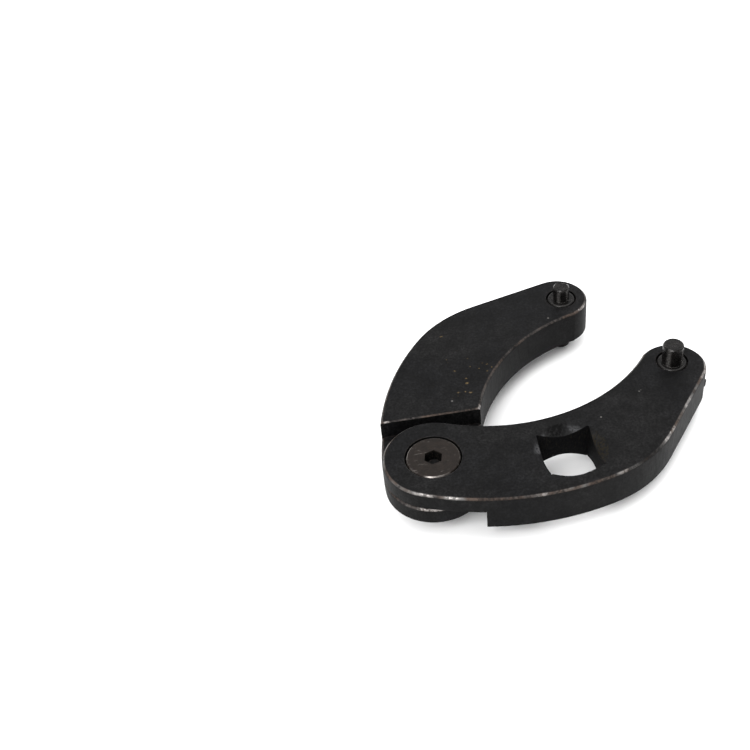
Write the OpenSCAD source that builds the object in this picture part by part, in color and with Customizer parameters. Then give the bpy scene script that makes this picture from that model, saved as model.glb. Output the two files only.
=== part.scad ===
// Adjustable gland nut wrench: two curved steel arms, half-lapped at one pivot screw, with a
// turned double-ended pin in each nose and a square drive hole in the front arm.
// The origin is the centre of the drive square at mid-thickness. Z is the pivot's direction.

/* [Drive square] */
// Width of the square hole (a 3/4 inch drive)
drive_w = 19.3; // [13:0.1:20]
// Radius of the round countersink at each face of the square hole
drive_sink_r = 13.2; // [10:0.1:13.4]
// Slope of that countersink below the face, in degrees
drive_sink_slope = 40; // [25:1:45]

/* [Layout] */
// Pivot position, X
pivot_x = -47.1; // [-52:0.1:-45]
// Pivot position, Y
pivot_y = 8.8; // [6:0.1:11]
// Direction from the pivot to the front pin
front_dir = 14.75; // [12:0.25:17]
// Angle between the two pins as drawn
spread = 32.25; // [14:0.25:90]
// Distance from the pivot to each pin
reach = 100.1; // [98.5:0.1:102]

/* [Arms] */
// Thickness of an arm
thick = 15.1; // [13:0.1:18]
// Gap between the two half-lapped faces
lap_gap = 0.12; // [0.05:0.01:0.3]
// Radius of the rounded lug round the pivot
lug_r = 18.1; // [17:0.1:19]
// Direction of the line on which the lug and both long curves are centred
lug_dir = 48.5; // [47:0.5:50]
// Radius of the long outer curve
back_r = 99.7; // [97:0.1:104]
// Radius of the outer curve where it turns towards the nose
toe_r = 46; // [42:1:50]
// Slope of the straight outer flank
flank_dir = 34.75; // [33:0.25:36]
// Radius of the hollow inner curve
throat_r = 65.9; // [64:0.1:67.5]
// Radius of the rounded nose
nose_r = 12.1; // [11.5:0.1:12.4]
// Direction of the normal where the inner curve runs into the nose
nose_dir = 34.05; // [33:0.05:35]
// Distance from the pivot to the front arm's shoulder
front_shoulder = 22.2; // [20.5:0.1:24]
// Distance from the pivot to the rear arm's shoulder
rear_shoulder = 20.9; // [20.5:0.1:24]
// Direction of the shoulder's normal
shoulder_dir = -40; // [-45:1:-35]
// Bevel on every long edge
edge = 1; // [0.4:0.1:1.2]
// Bevel on the shoulder's face edge
shoulder_edge = 0.6; // [0.3:0.1:1]
// Bevel round the half-lapped face
lap_edge = 1; // [0.4:0.1:1.2]

/* [Pivot screw] */
// Radius of the screw's shank
shank_r = 4.75; // [4:0.05:5.2]
// Radius of the flat head
head_r = 9.64; // [8.5:0.01:9.8]
// Radius of the stepped countersink in the front arm
seat_r = 10.22; // [9.9:0.01:10.8]
// Depth of the straight part of that countersink
seat_land = 1.1; // [0.6:0.1:1.3]
// Bevel on the head's rim
head_edge = 0.35; // [0.15:0.05:0.5]
// How far the head lies below the face
head_drop = 0.1; // [0.05:0.05:0.4]
// Width across flats of the screw's hex socket
hex_af = 6; // [5:0.1:7]
// Depth of that socket
hex_depth = 4.2; // [2:0.1:4.4]
// Pitch of the thread, drawn as separate rings
pitch = 1.5; // [1:0.25:1.5]

/* [Pin inserts] */
// Radius of the bore for the insert
insert_bore_r = 6; // [5.8:0.05:6.4]
// Radius of the large pin (5/16 inch)
big_r = 3.85; // [3.5:0.05:4.2]
// Height of the large pin above the face
big_h = 8.15; // [6:0.05:10]
// Radius of the small pin (1/4 inch)
small_r = 3.2; // [2.8:0.05:3.4]
// Height of the small pin above the face
small_h = 5.9; // [4:0.1:8]
// Radius of the insert where it shows at a face, with a groove round it
hub_r = 5.5; // [5.2:0.05:5.7]
// Depth of that groove
hub_depth = 2; // [1.2:0.1:2.5]
// Rounding of the insert's rims
insert_round = 0.9; // [0.3:0.05:1.1]
// Bevel on the ends of the pins
pin_edge = 0.45; // [0.2:0.05:0.7]

/* [Set screws] */
// Radius of the set screw that holds each insert
set_r = 1.5; // [1.25:0.25:2.25]
// Direction of the set screw from the pin, in the arm's own plan
set_dir = -48.4; // [-52:0.2:-46]
// How far the set screw stands out of the nose
set_out = 0.4; // [0.2:0.1:1]

/* [Hidden] */
$fn = 180;
h = thick / 2;
fit = 0.04;
slide = 0.1;
ease = 0.03;
over = 1;
c_steel = "#4b4a4b";
c_screw = "#5f5c58";
c_pin = "#636264";

function unit(a) = [cos(a), sin(a)];
function dir_of(v) = atan2(v[1], v[0]);

// Centres of the arcs in an arm's own plan: pivot at the origin, pin on +X, outer side on -Y.
// Each curve runs tangent to the next, set off from it by the ease.
throat_c = (lug_r + throat_r + ease) * unit(lug_dir);
nose_c = throat_c + (throat_r + nose_r + ease) * unit(nose_dir - 90);
back_c = (back_r - lug_r - ease) * unit(lug_dir);
flank_u = unit(flank_dir);
flank_n = unit(flank_dir + 90);
// Distance of the flank line and of the toe arc's centre along the flank's normal
flank_s = nose_c * flank_n - nose_r - ease;
toe_s = flank_s + toe_r + ease;
// The toe arc lies inside the long outer curve.
toe_gap = toe_s * flank_n - back_c;
toe_half = toe_gap * flank_u;
toe_far = pow(back_r - toe_r - ease, 2);
toe_c = toe_s * flank_n - (toe_half + sqrt(toe_half * toe_half - toe_gap * toe_gap + toe_far)) * flank_u;
toe_in = dir_of(toe_c - back_c);
flank_a = toe_c + (flank_s - toe_s) * flank_n;
flank_b = nose_c - (nose_r + ease) * flank_n;
flank_len = norm(flank_b - flank_a);

// Half section of a disc of radius r with bevelled rims, from radius r0 outwards.
// It stands past both faces, which one slab trims flat for the whole arm.
module rim_section(r, r0 = 0) {
    polygon([[r0, -h - over], [r - edge - over, -h - over], [r, edge - h],
             [r, h - edge], [r - edge - over, h + over], [r0, h + over]]);
}

// Sector of such a disc between two directions.
module sector(r, from, to, r0 = 0) {
    rotate([0, 0, from])
        rotate_extrude(angle = to - from)
            rim_section(r, r0);
}

// Straight flank with its own bevels.
module flank() {
    translate(flank_a)
        rotate([0, 0, flank_dir])
            rotate([90, 0, 90])
                linear_extrude(flank_len)
                    polygon([[nose_r, -h - over], [edge + over, -h - over], [0, edge - h],
                             [0, h - edge], [edge + over, h + over], [nose_r, h + over]]);
}

// Web between the flank and the hollow side.
module web() {
    in = 2 / 3 * nose_r * flank_n;
    translate([0, 0, -h - over])
        linear_extrude(thick + 2 * over)
            polygon([toe_c - 3 * flank_u, flank_a - 3 * flank_u + in, flank_b + in,
                     nose_c + 2 * flank_u, throat_c]);
}

// Outline of one arm at full thickness.
module arm_blank() {
    intersection() {
        difference() {
            union() {
                rotate_extrude() rim_section(lug_r);
                translate(back_c) sector(back_r, lug_dir - 179.6, toe_in - 0.8, throat_r - 10);
                translate(toe_c) sector(toe_r, toe_in - 12, flank_dir - 84);
                translate(nose_c) rotate_extrude() rim_section(nose_r);
                flank();
                web();
            }
            translate(throat_c)
                rotate_extrude()
                    polygon([[0, -h - 2], [throat_r + edge + 2, -h - 2], [throat_r, edge - h],
                             [throat_r, h - edge], [throat_r + edge + 2, h + 2], [0, h + 2]]);
        }
        cube([400, 400, thick], center = true);
    }
}

// Ring that bevels the lapped face along an arc of radius r; side is 1 where the arm lies
// inside the arc and -1 where it lies outside.
module lap_ring(r, from, to, side) {
    z = lap_gap / 2;
    rotate([0, 0, from])
        rotate_extrude(angle = to - from)
            polygon([[r - side * (lap_edge + 0.5), z - 0.5], [r + side * 0.5, z - 0.5],
                     [r + side * 0.5, z + lap_edge + 0.5]]);
}

// Space taken off the lug's lower half, up to the straight shoulder.
module lap_cut(shoulder) {
    intersection() {
        rotate([0, 0, shoulder_dir])
            translate([-60, -60, -h - 2])
                cube([60 + shoulder, 120, h + 6]);
        union() {
            translate([-90, -90, -h - 3])
                cube([180, 180, h + 3 + lap_gap / 2]);
            lap_ring(lug_r, lug_dir - 0.6, lug_dir + 180.6, 1);
            translate(back_c) lap_ring(back_r, lug_dir - 180.15, lug_dir - 160, 1);
            translate(throat_c) lap_ring(throat_r, lug_dir - 180.2, lug_dir - 150, -1);
        }
    }
    rotate([0, 0, shoulder_dir])
        translate([shoulder, 60, -h])
            rotate([90, 0, 0])
                linear_extrude(120)
                    polygon([[-1, -1], [shoulder_edge + 1, -1], [0, shoulder_edge], [-1, shoulder_edge]]);
}

// Bore for a pin insert, with lightly broken rims.
module insert_bore() {
    translate([reach, 0, 0])
        rotate_extrude()
            polygon([[0, -h - 1], [insert_bore_r + 1.1, -h - 1], [insert_bore_r, 0.1 - h],
                     [insert_bore_r, h - 0.1], [insert_bore_r + 1.1, h + 1], [0, h + 1]]);
}

// Tapped hole for the set screw, from the bore out through the nose.
module set_hole() {
    translate([reach, 0, 0])
        rotate([0, 90, set_dir])
            translate([0, 0, 2])
                cylinder(h = 20, r = set_r + fit);
}

// One arm in its own plan with the lower half of the lug cut away.
module arm(shoulder) {
    difference() {
        arm_blank();
        lap_cut(shoulder);
        insert_bore();
        set_hole();
    }
}

// Places a front piece, drawn in the arm's own plan.
module at_front() {
    translate([pivot_x, pivot_y, 0])
        rotate([0, 0, front_dir])
            children();
}

// Places a rear piece: the same plan turned over, opened by the spread.
module at_rear() {
    translate([pivot_x, pivot_y, 0])
        rotate([0, 0, front_dir + spread])
            rotate([180, 0, 0])
                children();
}

// Square hole through the drive, with a shallow cone at each face.
module drive_hole() {
    cube([drive_w, drive_w, thick + 2], center = true);
    for (s = [0, 1])
        mirror([0, 0, s])
            translate([0, 0, h])
                rotate_extrude()
                    polygon([[0, -drive_sink_r * tan(drive_sink_slope)], [drive_sink_r, 0],
                             [drive_sink_r, 1], [0, 1]]);
}

// Stepped hole in the upper lug: clearance bore, conical seat and straight rim.
module pivot_seat() {
    cylinder(h = thick, r = shank_r + slide / 2, center = true);
    rotate_extrude()
        polygon([[0, h - seat_land - seat_r], [seat_r, h - seat_land], [seat_r, h + 1], [0, h + 1]]);
}

// Ring-shaped thread section between two heights; grow widens it for the tapped hole.
module thread_section(z0, turns, grow = 0) {
    polygon(concat(
        [[0, z0]],
        [for (i = [0:turns - 1]) each [
            [shank_r - 0.75 + grow, z0 + i * pitch],
            [shank_r - 0.05 + grow, z0 + (i + 0.45) * pitch],
            [shank_r - 0.05 + grow, z0 + (i + 0.55) * pitch]]],
        [[shank_r - 0.75 + grow, z0 + turns * pitch], [0, z0 + turns * pitch]]));
}

thread_turns = floor((h - 1.2) / pitch);
thread_z = -0.6 - thread_turns * pitch;

// Front arm: upper lug, drive square and front insert bore.
module front_arm() {
    color(c_steel)
        difference() {
            at_front() arm(front_shoulder);
            drive_hole();
            translate([pivot_x, pivot_y, 0]) pivot_seat();
        }
}

// Rear arm: lower lug, tapped for the pivot screw, and rear insert bore.
module rear_arm() {
    color(c_steel)
        difference() {
            at_rear() arm(rear_shoulder);
            translate([pivot_x, pivot_y, 0]) {
                rotate_extrude() thread_section(thread_z, thread_turns, fit);
                translate([0, 0, -0.6]) cylinder(h = 2, r = shank_r + fit);
                translate([0, 0, -h - 1]) cylinder(h = h + 1 + thread_z, r = shank_r + fit);
                translate([0, 0, -h - 0.01])
                    cylinder(h = 0.8, r1 = shank_r + 0.8, r2 = shank_r);
            }
        }
}

// Countersunk socket screw: head seat in the front arm, thread in the rear arm.
module pivot_screw() {
    top = h - head_drop;
    cone = head_r - shank_r;
    // the cone of the head runs parallel to its seat, one slide gap inside it
    land = h - seat_land - seat_r + head_r + slide;
    color(c_screw)
        translate([pivot_x, pivot_y, 0])
            difference() {
                union() {
                    rotate_extrude()
                        polygon([[0, -0.6], [shank_r, -0.6], [shank_r, land - cone],
                                 [head_r, land], [head_r, top - head_edge],
                                 [head_r - head_edge, top], [0, top]]);
                    rotate_extrude() thread_section(thread_z, thread_turns);
                    translate([0, 0, thread_z - 0.4])
                        cylinder(h = 0.4, r1 = shank_r - 1.1, r2 = shank_r - 0.75);
                }
                translate([0, 0, top - hex_depth])
                    rotate([0, 0, 14])
                        cylinder(h = hex_depth + 1, r = hex_af / sqrt(3), $fn = 6);
                translate([0, 0, top - hex_depth - 1.2])
                    cylinder(h = 1.2, r1 = 0, r2 = hex_af / 2 - 0.2);
            }
}

// Section of one end of an insert: pressed part, rounded hub, then the pin with a bevelled end.
module insert_end(pin_r, pin_h) {
    e = insert_round;
    square([insert_bore_r - fit, h - hub_depth]);
    square([hub_r - e, h]);
    square([hub_r, h - e]);
    translate([hub_r - e, h - e]) circle(r = e, $fn = 48);
    polygon([[0, 0], [pin_r, 0], [pin_r, h + pin_h - pin_edge],
             [pin_r - pin_edge, h + pin_h], [0, h + pin_h]]);
}

// Turned double-ended insert with a groove for the set screw at mid-length.
module insert() {
    translate([reach, 0, 0])
        rotate_extrude()
            difference() {
                union() {
                    insert_end(big_r, big_h);
                    mirror([0, 1]) insert_end(small_r, small_h);
                }
                translate([insert_bore_r - 1, -set_r - 0.3]) square([2, 2 * set_r + 0.6]);
                translate([-10, -40]) square([10, 80]);
            }
}

// Socket set screw, drawn along its own axis from the groove outwards.
module set_screw() {
    // distance from the pin's centre to the nose surface along the set screw
    to_nose = nose_c - [reach, 0];
    along = to_nose * unit(set_dir);
    across = to_nose * unit(set_dir + 90);
    skin = along + sqrt(nose_r * nose_r - across * across);
    start = insert_bore_r - 0.95;
    len = skin + set_out - start;
    translate([reach, 0, 0])
        rotate([0, 90, set_dir])
            translate([0, 0, start])
                difference() {
                    rotate_extrude()
                        polygon([[0, 0], [set_r - 0.5, 0], [set_r, 0.5], [set_r, len - 0.2],
                                 [set_r - 0.2, len], [0, len]]);
                    translate([0, 0, len - 1.8])
                        cylinder(h = 3, r = 1.5 / sqrt(3), $fn = 6);
                }
}

// Insert of the front arm, large pin up.
module front_pin() { color(c_pin) at_front() insert(); }

// Insert of the rear arm, large pin down.
module rear_pin() { color(c_pin) at_rear() insert(); }

// Set screw that holds the front insert.
module front_set_screw() { color(c_screw) at_front() set_screw(); }

// Set screw that holds the rear insert.
module rear_set_screw() { color(c_screw) at_rear() set_screw(); }

front_arm();
rear_arm();
pivot_screw();
front_pin();
rear_pin();
front_set_screw();
rear_set_screw();
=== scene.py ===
import math

import bpy
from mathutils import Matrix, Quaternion, Vector


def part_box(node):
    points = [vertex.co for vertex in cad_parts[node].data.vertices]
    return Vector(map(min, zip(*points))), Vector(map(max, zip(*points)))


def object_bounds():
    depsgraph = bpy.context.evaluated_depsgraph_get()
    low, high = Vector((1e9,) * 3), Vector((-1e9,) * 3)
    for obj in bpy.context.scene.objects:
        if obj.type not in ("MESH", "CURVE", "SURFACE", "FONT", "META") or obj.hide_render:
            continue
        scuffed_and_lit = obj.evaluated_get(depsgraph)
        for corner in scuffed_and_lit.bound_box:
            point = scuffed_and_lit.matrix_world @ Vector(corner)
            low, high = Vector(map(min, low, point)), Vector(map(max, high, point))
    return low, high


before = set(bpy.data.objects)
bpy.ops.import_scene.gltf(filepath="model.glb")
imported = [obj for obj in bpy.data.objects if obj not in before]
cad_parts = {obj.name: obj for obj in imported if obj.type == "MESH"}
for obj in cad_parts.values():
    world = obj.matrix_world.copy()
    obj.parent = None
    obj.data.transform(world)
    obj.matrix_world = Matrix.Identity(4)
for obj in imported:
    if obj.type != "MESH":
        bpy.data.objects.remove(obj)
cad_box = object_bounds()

MM = 0.001


def axis(node):
    """A point on the middle plane, at the middle of a node's plan, in mm."""
    low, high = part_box(node)
    return ((low[0] + high[0]) / 2 / MM, (low[1] + high[1]) / 2 / MM, 0.0)


# Places and sizes in mm. The origin is the middle of the drive hole, on the arms' middle plane.
ORIGIN = (0.0, 0.0, 0.0)
PIVOT = axis("pivot_screw")
FRONT_PIN = axis("front_pin")
REAR_PIN = axis("rear_pin")
HALF_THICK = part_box("front_arm")[1][2] / MM
LAP = 0.06  # half the gap between the two lugs
EDGE = 1.0  # height of a bevel
SINK_RADIUS = 13.2  # rim of the drive hole's countersink
SOCKET_RADIUS = 3.8  # just outside the corners of the pivot screw's hex
HEAD_RIM = 9.1  # where the rubbed rim of the pivot screw's head begins
WALL_SCALE = 1.41  # makes the sideways part of a 45 degree bevel's normal as long as the wall's
FLOOR_HALF = 6.0  # half the floor's side, in metres
FLOOR_GREY = 0.9

# Colours, as linear red, green and blue
OXIDE = (0.0039, 0.0039, 0.0042)
OXIDE_PALE = (0.0051, 0.0050, 0.0051)
BARE_COPPERY = (0.0570, 0.0426, 0.0350)
# painted highlight: colour of the bright glints painted on worn bevels
BARE_PAINTED_GLINT = (0.304, 0.285, 0.274)
BARE_NICK = (0.0912, 0.0874, 0.0836)
PIT = (0.0418, 0.0403, 0.0380)
# bare turned metal of the countersink, also painted as light where light falls
SINK_BARE_AND_LIT = (0.0608, 0.0608, 0.0638)
SCORCHED = (0.0023, 0.0023, 0.0023)
BURNT = (0.0105, 0.0085, 0.0050)
BROACHED = (0.0017, 0.0017, 0.0020)
BROACHED_BROWN = (0.0099, 0.0087, 0.0065)
FLAKE = (0.129, 0.0897, 0.0418)
SMUDGE = (0.0030, 0.0030, 0.0030)
# painted shade of the screw's socket recess
SOCKET_SHADE = (0.0011, 0.0011, 0.0011)
SOCKET_BROWN = (0.0167, 0.0129, 0.0106)


class Graph:
    """A material's node tree. Arguments may be sockets, numbers or tuples."""

    def __init__(self, name):
        self.material = bpy.data.materials.new(name)
        self.material.use_nodes = True
        self.tree = self.material.node_tree
        self.tree.nodes.clear()
        coord = self.node("ShaderNodeTexCoord")
        self.mm = self.vector("SCALE", coord.outputs["Object"], scale=1.0 / MM)
        self.normal = coord.outputs["Normal"]

    def node(self, kind, **settings):
        made = self.tree.nodes.new(kind)
        for key, value in settings.items():
            setattr(made, key, value)
        return made

    def put(self, socket, value):
        if isinstance(value, bpy.types.NodeSocket):
            self.tree.links.new(value, socket)
        elif value is not None:
            socket.default_value = value

    def math(self, operation, a, b=None, clamp=False):
        made = self.node("ShaderNodeMath", operation=operation, use_clamp=clamp)
        for socket, value in zip(made.inputs, (a, b)):
            self.put(socket, value)
        return made.outputs[0]

    def vector(self, operation, a, b=None, scale=None):
        made = self.node("ShaderNodeVectorMath", operation=operation)
        self.put(made.inputs[0], a)
        self.put(made.inputs[1], b)
        self.put(made.inputs[3], scale)
        return made.outputs[1 if operation in ("LENGTH", "DISTANCE", "DOT_PRODUCT") else 0]

    def split(self, vector):
        made = self.node("ShaderNodeSeparateXYZ")
        self.put(made.inputs[0], vector)
        return made.outputs

    def join(self, x=None, y=None, z=None):
        made = self.node("ShaderNodeCombineXYZ")
        for socket, value in zip(made.inputs, (x, y, z)):
            self.put(socket, value)
        return made.outputs[0]

    def ramp(self, value, start, end, low=0.0, high=1.0):
        """low up to start and high from end on, with a smooth step between."""
        made = self.node("ShaderNodeMapRange", interpolation_type="SMOOTHSTEP")
        for socket, entry in zip(made.inputs, (value, start, end, low, high)):
            self.put(socket, entry)
        return made.outputs[0]

    def mix(self, factor, a, b, kind="MIX"):
        made = self.node("ShaderNodeMix", data_type="RGBA", blend_type=kind)
        self.put(made.inputs[0], factor)
        for socket, entry in ((made.inputs[6], a), (made.inputs[7], b)):
            self.put(socket, (*entry, 1.0) if isinstance(entry, tuple) else entry)
        return made.outputs[2]

    def blend(self, factor, a, b):
        made = self.node("ShaderNodeMix", data_type="FLOAT")
        for socket, entry in zip((made.inputs[0], made.inputs[2], made.inputs[3]), (factor, a, b)):
            self.put(socket, entry)
        return made.outputs[0]

    def turn(self, factor, a, b):
        """Direction a turned towards direction b."""
        made = self.node("ShaderNodeMix", data_type="VECTOR")
        for socket, entry in zip((made.inputs[0], made.inputs[4], made.inputs[5]), (factor, a, b)):
            self.put(socket, entry)
        return self.vector("NORMALIZE", made.outputs[1])

    def noise(self, size, detail=3.0, roughness=0.55, stretch=None, shift=0.0, at=None):
        """Noise with features of size mm; stretch multiplies the coordinates."""
        place = self.mm if at is None else at
        if stretch is not None:
            place = self.vector("MULTIPLY", place, stretch)
        if shift:
            place = self.vector("ADD", place, (shift, shift * 0.7, shift * 1.3))
        made = self.node("ShaderNodeTexNoise")
        self.put(made.inputs["Vector"], place)
        made.inputs["Scale"].default_value = 1.0 / size
        made.inputs["Detail"].default_value = detail
        made.inputs["Roughness"].default_value = roughness
        return made.outputs["Fac"]

    def specks(self, spacing, radius, keep, shift=0.0, stretch=None):
        """Specks of about radius mm, one per spacing mm, of which the share keep is shown."""
        place = self.vector("ADD", self.mm, (shift, shift * 1.7, shift * 0.6))
        if stretch is not None:
            place = self.vector("MULTIPLY", place, stretch)
        cells = self.node("ShaderNodeTexVoronoi", feature="F1")
        self.put(cells.inputs["Vector"], place)
        cells.inputs["Scale"].default_value = 1.0 / spacing
        chance = self.split(cells.outputs["Color"])[0]
        dot = self.ramp(cells.outputs["Distance"], radius / spacing, 0.3 * radius / spacing)
        return self.math("MULTIPLY", dot, self.math("LESS_THAN", chance, keep))

    def spot(self, centre, radius, soft=0.6):
        """1 round centre, fading to 0 over the outer share soft of radius mm."""
        away = self.vector("DISTANCE", self.mm, centre)
        return self.ramp(away, radius, radius * (1.0 - soft))

    def spots(self, places):
        """Spots at several places, each a centre, a radius in mm and, if need be, a softness."""
        return self.any(*[self.spot(*place) for place in places])

    def all(self, *masks):
        out = masks[0]
        for mask in masks[1:]:
            out = self.math("MULTIPLY", out, mask)
        return out

    def any(self, *masks):
        out = masks[0]
        for mask in masks[1:]:
            out = self.math("MAXIMUM", out, mask)
        return out

    def flip(self, mask):
        return self.math("SUBTRACT", 1.0, mask, clamp=True)

    def plan_radius(self, centre):
        """Distance from the axis through centre along Z, in mm."""
        away = self.vector("SUBTRACT", self.mm, centre)
        return self.vector("LENGTH", self.vector("MULTIPLY", away, (1.0, 1.0, 0.0)))

    def edges(self, radius):
        """From 0 on open faces to more than 0 within radius mm of an edge."""
        rounded = self.node("ShaderNodeBevel", samples=6)
        rounded.inputs["Radius"].default_value = radius * MM
        plain = self.node("ShaderNodeNewGeometry").outputs["Normal"]
        return self.math("SUBTRACT", 1.0, self.vector("DOT_PRODUCT", rounded.outputs[0], plain))

    def to_world(self, normal):
        made = self.node(
            "ShaderNodeVectorTransform", vector_type="NORMAL", convert_from="OBJECT", convert_to="WORLD",
        )
        self.put(made.inputs[0], normal)
        return made.outputs[0]

    def bump(self, height, depth, normal=None):
        """Bump from a height map whose full range is depth mm."""
        made = self.node("ShaderNodeBump")
        made.inputs["Strength"].default_value = 1.0
        made.inputs["Distance"].default_value = depth * MM
        self.put(made.inputs["Height"], height)
        if normal is not None:
            self.put(made.inputs["Normal"], normal)
        return made.outputs[0]

    def finish(self, colour, metallic, roughness, normal, specular):
        shader = self.node("ShaderNodeBsdfPrincipled")
        inputs = {"Base Color": colour, "Metallic": metallic, "Roughness": roughness, "Normal": normal}
        for name, value in inputs.items():
            self.put(shader.inputs[name], value)
        shader.inputs["Specular IOR Level"].default_value = specular
        out = self.node("ShaderNodeOutputMaterial")
        self.tree.links.new(shader.outputs[0], out.inputs["Surface"])
        return self.material


class ArmGraph(Graph):
    """An arm's material, with the masks and noises that its layers share."""

    def __init__(self, name, drive):
        super().__init__(name)
        self.drive = drive
        self.nx, self.ny, self.nz = self.split(self.normal)
        height = self.math("ABSOLUTE", self.split(self.mm)[2])
        up = self.math("ABSOLUTE", self.nz)
        self.face = self.ramp(up, 0.93, 0.99)
        self.wall = self.ramp(up, 0.35, 0.1)
        slope = self.flip(self.math("ADD", self.face, self.wall))
        self.bevel = slope
        if drive:
            self.radius = self.plan_radius(ORIGIN)
            self.sink = self.all(slope, self.ramp(self.radius, SINK_RADIUS + 0.3, SINK_RADIUS + 0.2))
            self.hole = self.all(self.wall, self.ramp(self.radius, SINK_RADIUS + 1.0, SINK_RADIUS + 0.9))
            self.bevel = self.all(slope, self.flip(self.sink))

        # How far up a bevel, from its wall to its face, towards the outer face or the lap
        rise = self.math("DIVIDE", self.math("SUBTRACT", height, HALF_THICK - EDGE), EDGE, clamp=True)
        lap_rise = self.math("DIVIDE", self.math("SUBTRACT", LAP + EDGE, height), EDGE, clamp=True)
        self.over = self.any(rise, lap_rise)

        self.fine = self.noise(0.85, 3.0, 0.75)
        self.grain = self.noise(2.1, 4.0, 0.7, shift=11.0)
        self.milled = self.noise(0.5, 3.0, 0.65, stretch=(1.0, 1.0, 0.1), shift=5.0)
        self.broken = self.noise(1.0, 3.0, 0.7, shift=83.0)

    def rounded(self):
        """The bevels are shaded round: their normal turns from the wall's to the face's."""
        straight = self.join(0.0, 0.0, self.math("SIGN", self.nz))
        flat = self.math("MULTIPLY", self.flip(self.over), WALL_SCALE)
        sideways = self.vector("SCALE", self.join(self.nx, self.ny), scale=flat)
        rounded = self.vector("ADD", sideways, self.vector("SCALE", straight, scale=self.over))
        shape = self.turn(self.bevel, self.normal, rounded)
        if self.drive:
            # the countersink's rim is rubbed round
            lip = self.ramp(self.radius, SINK_RADIUS - 2.8, SINK_RADIUS, 0.1, 0.95)
            shape = self.turn(self.all(self.sink, lip), shape, straight)
        return shape

    def oxide(self):
        """Colour of the unworn film: clouds and grain, and upright cutter marks on the walls, which are
        also painted darker overall as painted shade.
        """
        cloud = self.noise(8.0, 3.0, 0.55, shift=31.0)
        patch = self.noise(24.0, 2.0, 0.45, shift=57.0)
        level = self.all(
            self.ramp(self.fine, 0.34, 0.68, 0.42, 1.75),
            self.ramp(self.grain, 0.36, 0.66, 0.74, 1.30),
            self.ramp(cloud, 0.3, 0.7, 0.72, 1.28),
        )
        # painted shade: walls darkened to between half and full tone, in upright cutter-mark streaks
        cutter_marks_and_shade = self.ramp(self.milled, 0.35, 0.7, 0.5, 1.0)
        level = self.all(level, self.blend(self.wall, 1.0, cutter_marks_and_shade))
        colour = self.mix(self.ramp(patch, 0.38, 0.62), OXIDE, OXIDE_PALE)
        return self.mix(1.0, colour, self.join(level, level, level), "MULTIPLY")

    def edge_wear(self, wear, sheen, rubbed, sound):
        """A broken worn line along each bevel and beside it, and in places a painted highlight on it:
        bare metal painted bright where light glints off the bevel.
        """
        along = self.noise(7.0, 3.0, 0.6, shift=71.0)
        near = self.ramp(self.edges(0.6), 0.03, 0.3)
        crest = self.all(self.bevel, self.ramp(self.over, 0.02, 0.3), self.ramp(self.over, 1.0, 0.72))
        worn_and_highlit = self.spots(rubbed)
        length = self.ramp(self.math("ADD", along, self.math("MULTIPLY", worn_and_highlit, 0.35)), 0.36, 0.72)
        line = self.any(crest, self.math("MULTIPLY", near, 0.45))
        rub = self.ramp(self.math("ADD", self.broken, self.math("MULTIPLY", length, wear)), 0.34, 0.84)
        # painted sheen: every bevel crest is painted lighter by at least sheen, partly worn metal and
        # partly painted sheen
        least_wear_and_sheen = self.all(crest, self.ramp(self.broken, 0.36, 0.62, 0.45 * sheen, 1.15 * sheen))
        worn = self.any(least_wear_and_sheen, self.all(line, rub))
        if sound:
            worn = self.all(worn, self.ramp(self.spots(sound), 0.0, 1.0, 1.0, 0.2))
        uneven = self.math("MULTIPLY", self.broken, 0.3)
        # painted highlight: a glint painted on the bevel's crest in the rubbed places, broken into
        # streaks
        streak = self.math("ADD", self.noise(3.4, 2.0, 0.5, shift=103.0), uneven)
        painted_bright = self.ramp(self.broken, 0.4, 0.56, 0.15, 1.0)
        painted_glint = self.all(crest, worn_and_highlit, self.ramp(streak, 0.5, 0.82), painted_bright)
        if self.drive:
            outside = self.ramp(self.radius, SINK_RADIUS + 0.4, SINK_RADIUS + 1.0)
            worn, painted_glint = self.all(worn, outside), self.all(painted_glint, outside)
        return worn, painted_glint

    def countersink(self, colour):
        """The drive hole: a turned, scuffed countersink with burnt places and patches painted light, and
        broached walls.
        Gives the colour, the mask of the matt places and the noise that roughens them."""
        scuffed = self.noise(0.9, 4.0, 0.7, shift=17.0)
        turned = self.noise(0.4, 2.0, 0.5, at=self.join(self.radius))
        # painted light: lighter patches on the countersink's far and left side, where light falls, over
        # bare turned rings
        painted_bright = self.spots((
            ((5.5, 12.8, 6.0), 5.0, 0.8),
            ((-12.0, 4.8, 6.3), 5.0, 0.9),
            ((-8.0, 10.2, 7.0), 3.0, 0.9),
        ))
        rings = self.ramp(turned, 0.3, 0.7, 0.6, 1.0)
        scuffed_and_lit = self.ramp(self.math("ADD", painted_bright, scuffed), 0.7, 1.4, 0.06, 1.0)
        inwards = self.ramp(self.radius, SINK_RADIUS, SINK_RADIUS - 2.2)
        ragged = self.ramp(scuffed, 0.36, 0.56, 0.25, 1.0)
        colour = self.mix(self.all(self.sink, self.all(rings, scuffed_and_lit), inwards, ragged), colour, SINK_BARE_AND_LIT)
        scorch = self.all(self.sink, self.spot((-2.0, 12.5, 6.0), 5.0), self.ramp(scuffed, 0.44, 0.56))
        colour = self.mix(scorch, colour, SCORCHED)
        burnt = self.spot((12.5, -1.0, 6.0), 10.0, 0.4)
        burnt = self.all(self.sink, burnt, self.ramp(scuffed, 0.46, 0.58))
        colour = self.mix(burnt, colour, BURNT)
        broach = self.noise(0.7, 4.0, 0.75, stretch=(1.0, 1.0, 0.35), shift=29.0)
        film = self.mix(self.ramp(broach, 0.52, 0.7), BROACHED, BROACHED_BROWN)
        colour = self.mix(self.hole, colour, film)
        return colour, self.any(self.hole, scorch), self.math("ADD", broach, scuffed)

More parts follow.
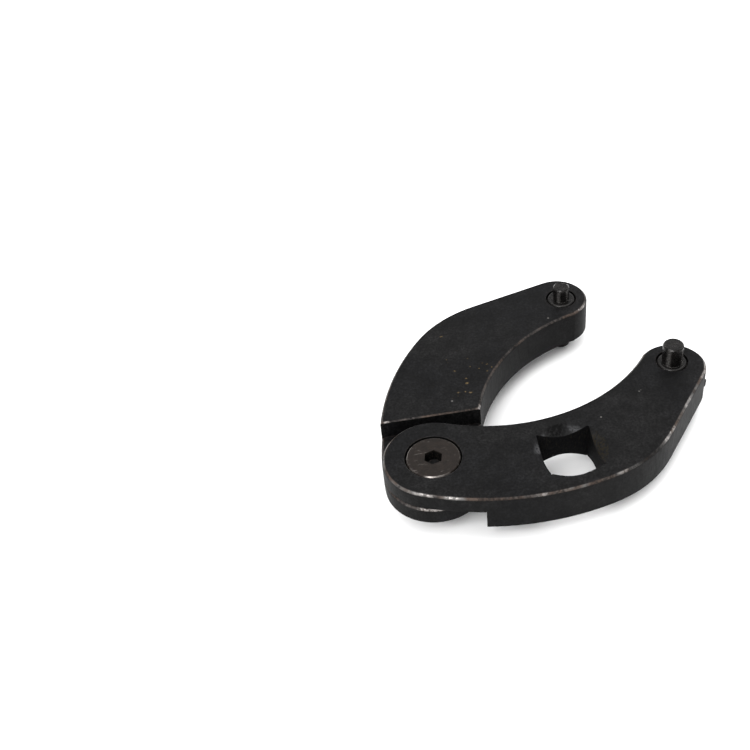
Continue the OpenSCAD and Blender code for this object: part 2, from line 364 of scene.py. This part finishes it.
    def flakes(self, places):
        """Mask of the ragged light brown specks on the faces."""
        large = self.specks(4.2, 0.95, 0.5, 23.0, (1.0, 1.5, 1.0))
        small = self.specks(2.6, 0.42, 0.4, 37.0)
        ragged = self.ramp(self.noise(0.6, 3.0, 0.75, shift=41.0), 0.42, 0.56)
        return self.all(self.any(large, small), self.spots(places), self.face, ragged)


def black_oxide(
    name, wear, sheen, tint, drive=False, rubbed=(), sound=(), specked=(), smudged=(), nicked=(),
):
    """Worn black oxide on a ground and milled arm, its walls painted darker as shade. rubbed, sound,
    specked, smudged and nicked are places, each a centre and a radius in mm: bright worn edges,
    whose glints are painted highlights, unworn edges, light brown specks, a darker film, bare nicks.
    sheen is how light a bevel is painted at least, partly worn metal and partly painted sheen, and
    wear how much more worn it is in places. tint is the worn edges' colour where it isn't coppery."""
    g = ArmGraph(name, drive)
    worn, painted_glint = g.edge_wear(wear, sheen, rubbed, sound)
    copper = g.ramp(g.noise(9.0, 2.0, 0.6, shift=91.0), 0.42, 0.6)
    colour = g.mix(worn, g.oxide(), g.mix(copper, tint, BARE_COPPERY))
    # painted highlight: bright glints painted onto the worn bevel crests
    colour = g.mix(painted_glint, colour, BARE_PAINTED_GLINT)
    if nicked:
        colour = g.mix(g.all(g.spots(nicked), g.ramp(g.broken, 0.34, 0.5)), colour, BARE_NICK)
    pits = g.any(g.specks(8.0, 0.25, 0.3, 3.0), g.specks(13.0, 0.38, 0.25, 13.0))
    pits = g.all(pits, g.any(g.face, g.wall))
    colour = g.mix(g.math("MULTIPLY", pits, 0.5), colour, PIT)
    rough = g.ramp(g.grain, 0.3, 0.7, 0.40, 0.52)
    rough = g.blend(g.wall, rough, g.ramp(g.milled, 0.35, 0.7, 0.5, 0.62))
    rough = g.blend(worn, rough, 0.34)
    if drive:
        colour, matt, coarse = g.countersink(colour)
        rough = g.blend(matt, rough, 0.72)
    if specked:
        colour = g.mix(g.flakes(specked), colour, FLAKE)
    if smudged:
        film = g.all(g.spots(smudged), g.face)
        colour = g.mix(g.math("MULTIPLY", film, 0.5), colour, SMUDGE)
        rough = g.blend(g.math("MULTIPLY", film, 0.7), rough, 0.6)

    metallic = g.any(g.math("MULTIPLY", worn, 0.2), g.math("MULTIPLY", painted_glint, 0.85))
    relief = g.math("ADD", g.grain, g.math("MULTIPLY", g.fine, 0.5))
    relief = g.math("SUBTRACT", relief, g.math("MULTIPLY", pits, 1.5))
    normal = g.bump(relief, 0.03, g.to_world(g.rounded()))
    normal = g.bump(g.all(g.wall, g.milled), 0.02, normal)
    if drive:
        normal = g.bump(g.all(matt, coarse), 0.12, normal)
    return g.finish(colour, metallic, rough, normal, 0.06)


def turned_steel(
    name, centre, dark, light, worn, lines_mm, metallic, roughness, specular,
    rim_mm=0.3, rim_from=None, rim_wear=0.7, socket=False, painted_rim_highlights=(), painted_streaks=(),
):
    """Turned steel: fine rings about its axis. Its rim is rim_mm wide, or begins at radius rim_from.
    A socket's recess is painted near black as painted shade, with brown flecks, and rough. glints
    are places where the rim is painted bright as a highlight, and bearing those where the side is
    painted with bright highlight streaks, each a centre and a radius in mm."""
    g = Graph(name)
    up = g.math("ABSOLUTE", g.split(g.normal)[2])
    radius = g.plan_radius(centre)
    height = g.split(g.mm)[2]
    end = g.ramp(up, 0.3, 0.7)
    across = g.join(g.all(radius, end), g.all(height, g.flip(end)))
    lines = g.noise(lines_mm, 3.0, 0.65, at=across)
    grain = g.noise(0.6, 4.0, 0.65, shift=19.0)
    cloud = g.noise(3.0, 3.0, 0.5, shift=29.0)
    mottle = g.math("MULTIPLY", g.math("ADD", grain, cloud), 0.3)
    tone = g.math("ADD", g.math("MULTIPLY", lines, 0.4), mottle)
    colour = g.mix(g.ramp(tone, 0.4, 0.62), dark, light)
    if rim_from is None:
        rim = g.ramp(g.edges(rim_mm), 0.02, 0.25)
    else:
        rim = g.ramp(radius, rim_from, rim_from + 0.15)
    rubbed = g.all(rim, g.ramp(g.noise(3.0, 2.0, 0.6, shift=47.0), 0.38, 0.62))
    scratch = g.noise(0.5, 2.0, 0.5, stretch=(0.16, 1.0, 1.0), shift=53.0)
    scratch = g.all(g.ramp(scratch, 0.66, 0.74), end, 0.3)
    bare_and_highlit = g.any(g.math("MULTIPLY", rubbed, rim_wear), scratch)
    # painted highlight: the rim painted bright where light glints off it
    if painted_rim_highlights:
        bare_and_highlit = g.any(bare_and_highlit, g.all(rim, g.spots(painted_rim_highlights)))
    # painted highlight: upright bright streaks on the pin sides
    if painted_streaks:
        painted_streak_band = g.any(*[g.ramp(g.plan_radius(place), size, 0.1 * size) for place, size in painted_streaks])
        bare_and_highlit = g.any(bare_and_highlit, g.all(painted_streak_band, g.flip(end), g.ramp(tone, 0.38, 0.6, 0.12, 0.42)))
    colour = g.mix(bare_and_highlit, colour, worn)
    rough = g.ramp(grain, 0.3, 0.7, roughness - 0.06, roughness + 0.08)
    rough = g.blend(bare_and_highlit, rough, max(roughness - 0.1, 0.2))
    if socket:
        # painted shade: the socket's recess is painted near black, with brown flecks
        within = g.ramp(radius, SOCKET_RADIUS + 0.1, SOCKET_RADIUS)
        inside = g.all(within, g.ramp(height, HALF_THICK - 0.4, HALF_THICK - 0.6))
        painted_socket_shade = g.mix(g.ramp(grain, 0.5, 0.66), SOCKET_SHADE, SOCKET_BROWN)
        colour = g.mix(inside, colour, painted_socket_shade)
        rough = g.blend(inside, rough, 0.6)
    normal = g.bump(lines, 0.010)
    normal = g.bump(grain, 0.006, normal)
    return g.finish(colour, g.any(bare_and_highlit, metallic), rough, normal, specular)


def pin_steel(name, centre, painted_streaks):
    """Dark glossy steel of a pin insert. bearing are the stripes on its side painted bright as
    highlight streaks, each an offset from the pin's axis and a radius in mm."""
    x, y, _ = centre
    return turned_steel(
        name,
        centre,
        dark=(0.0046, 0.0043, 0.0042),
        light=(0.0167, 0.0154, 0.0148),
        worn=(0.274, 0.262, 0.251),
        lines_mm=0.42,
        metallic=0.6,
        roughness=0.27,
        specular=0.28,
        rim_mm=0.25,
        painted_streaks=[((x + dx, y + dy, 0.0), size) for (dx, dy), size in painted_streaks],
        # painted highlights on the hub rim, near side
        painted_rim_highlights=(((x - 2.4, y - 4.7, HALF_THICK), 3.2), ((x + 4.6, y - 2.8, HALF_THICK), 2.6)),
    )


def dress(node, material):
    """Gives a CAD node its material."""
    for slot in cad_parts[node].material_slots:
        slot.material = material


dress("front_arm", black_oxide(
    "front_arm_steel",
    drive=True,
    wear=0.4,
    sheen=0.55,
    tint=(0.0874, 0.0844, 0.0821),
    sound=(((26.0, -9.0, 7.0), 9.0),),
    # worn places; the bright glints in them are painted highlights
    rubbed=(
        ((-56.0, -5.5, 7.0), 7.5),
        ((-44.0, -10.5, 7.2), 4.0),
        ((-15.0, -15.7, 7.0), 3.0),
        ((13.7, -12.6, 7.0), 3.0),
        ((35.5, -1.0, 7.0), 6.0),
        ((47.0, 13.0, 7.0), 4.0),
        ((58.5, 27.0, 7.0), 6.0),
    ),
    smudged=(((46.5, 25.5, HALF_THICK), 6.5),),
    nicked=(
        ((15.2, 12.6, HALF_THICK), 0.45),
        ((32.6, 21.9, HALF_THICK), 0.5),
        ((33.4, 22.2, HALF_THICK), 0.4),
    ),
))
dress("rear_arm", black_oxide(
    "rear_arm_steel",
    wear=0.25,
    sheen=0.12,
    tint=(0.0532, 0.0471, 0.0441),
    # worn places; the bright glints in them are painted highlights
    rubbed=(
        ((-54.0, -8.0, 0.5), 9.0),
        ((27.0, 74.0, 7.0), 5.0),
        ((-60.5, 31.3, 7.0), 2.0),
        ((-25.5, 29.5, 7.0), 2.0),
    ),
    specked=(((-24.0, 47.0, HALF_THICK), 17.0), ((-32.0, 72.0, HALF_THICK), 9.0)),
    nicked=(
        ((12.7, 71.3, HALF_THICK), 0.5),
        ((7.2, 68.3, 3.0), 0.8),
        ((-34.4, 34.9, HALF_THICK), 0.5),
    ),
))
# painted highlight streaks on each pin's side
dress("front_pin", pin_steel("front_pin_steel", FRONT_PIN, (((-2.7, -2.8), 1.3), ((2.6, -2.9), 0.7))))
dress("rear_pin", pin_steel("rear_pin_steel", REAR_PIN, (((-1.85, -2.6), 1.1), ((1.6, -2.8), 0.7))))
dress("pivot_screw", turned_steel(
    "pivot_screw_steel",
    PIVOT,
    dark=(0.0065, 0.0047, 0.0037),
    light=(0.0133, 0.0097, 0.0076),
    worn=(0.198, 0.182, 0.171),
    lines_mm=0.5,
    metallic=0.05,
    roughness=0.42,
    specular=0.11,
    rim_from=HEAD_RIM,
    rim_wear=0.2,
    socket=True,
    # painted highlights on the head's rim, near side and far left
    painted_rim_highlights=(((-48.5, -0.9, HALF_THICK), 4.5), ((-55.5, 13.0, HALF_THICK), 4.0)),
))
set_screw_steel = turned_steel(
    "set_screw_steel",
    FRONT_PIN,
    dark=(0.0046, 0.0046, 0.0046),
    light=(0.0106, 0.0106, 0.0106),
    worn=(0.0760, 0.0760, 0.0760),
    lines_mm=0.4,
    metallic=0.1,
    roughness=0.42,
    specular=0.3,
)
dress("front_set_screw", set_screw_steel)
dress("rear_set_screw", set_screw_steel)


# A plain pale floor under the lower pin ends
floor_mesh = bpy.data.meshes.new("floor")
corners = [(-1, -1), (1, -1), (1, 1), (-1, 1)]
floor_mesh.from_pydata([(FLOOR_HALF * x, FLOOR_HALF * y, 0) for x, y in corners], [], [(0, 1, 2, 3)])
floor = bpy.data.objects.new("floor", floor_mesh)
floor.location.z = cad_box[0].z
bpy.context.scene.collection.objects.link(floor)
paper = bpy.data.materials.new("pale_floor")
paper.use_nodes = True
paper_shader = paper.node_tree.nodes["Principled BSDF"]
paper_shader.inputs["Base Color"].default_value = (FLOOR_GREY, FLOOR_GREY, FLOOR_GREY, 1.0)
paper_shader.inputs["Roughness"].default_value = 0.9
paper_shader.inputs["Specular IOR Level"].default_value = 0.0
floor_mesh.materials.append(paper)


def sun(name, direction, strength, angle):
    """Soft light from far away, coming from direction; angle is its width in degrees."""
    lamp = bpy.data.lights.new(name, "SUN")
    lamp.energy = strength
    lamp.angle = math.radians(angle)
    lit = bpy.data.objects.new(name, lamp)
    lit.rotation_mode = "QUATERNION"
    lit.rotation_quaternion = Vector(direction).to_track_quat("Z", "Y")
    bpy.context.scene.collection.objects.link(lit)


sun("key", (-0.4, -0.52, 0.76), 2.1, 26.0)
sun("top", (0.1, 0.1, 1.0), 3.1, 80.0)
sun("side", (-0.85, -0.3, 0.7), 0.4, 9.0)

# The studio's sky is brighter near the horizon
world = bpy.data.worlds.new("studio")
world.use_nodes = True
bpy.context.scene.world = world
sky = world.node_tree
back = sky.nodes["Background"]
where = sky.nodes.new("ShaderNodeTexCoord")
climb = sky.nodes.new("ShaderNodeSeparateXYZ")
fade = sky.nodes.new("ShaderNodeMapRange")
fade.interpolation_type = "SMOOTHSTEP"
sky.links.new(where.outputs["Generated"], climb.inputs[0])
sky.links.new(climb.outputs["Z"], fade.inputs["Value"])
for name, value in (("From Min", 0.3), ("From Max", 0.6), ("To Min", 1.4), ("To Max", 0.45)):
    fade.inputs[name].default_value = value
sky.links.new(fade.outputs[0], back.inputs["Strength"])
back.inputs["Color"].default_value = (1.0, 1.0, 1.0, 1.0)

# Camera at the photo's viewing angle
azimuth, elevation, roll = math.radians(-5.017), math.radians(41.849), math.radians(-7.168)
camera_data = bpy.data.cameras.new("camera")
camera_data.sensor_width = 36.0
camera_data.lens = 54.86
camera_data.clip_start, camera_data.clip_end = 0.02, 20.0
camera = bpy.data.objects.new("camera", camera_data)
camera.location = (-0.08816, -0.26767, 0.29931)
towards = Vector((
    -math.sin(azimuth) * math.cos(elevation),
    math.cos(azimuth) * math.cos(elevation),
    -math.sin(elevation),
))
camera.rotation_mode = "QUATERNION"
camera.rotation_quaternion = towards.to_track_quat("-Z", "Y") @ Quaternion((0, 0, 1), roll)
bpy.context.scene.collection.objects.link(camera)
bpy.context.scene.camera = camera
bpy.context.scene.view_settings.view_transform = "Standard"
bpy.context.scene.view_settings.look = "None"
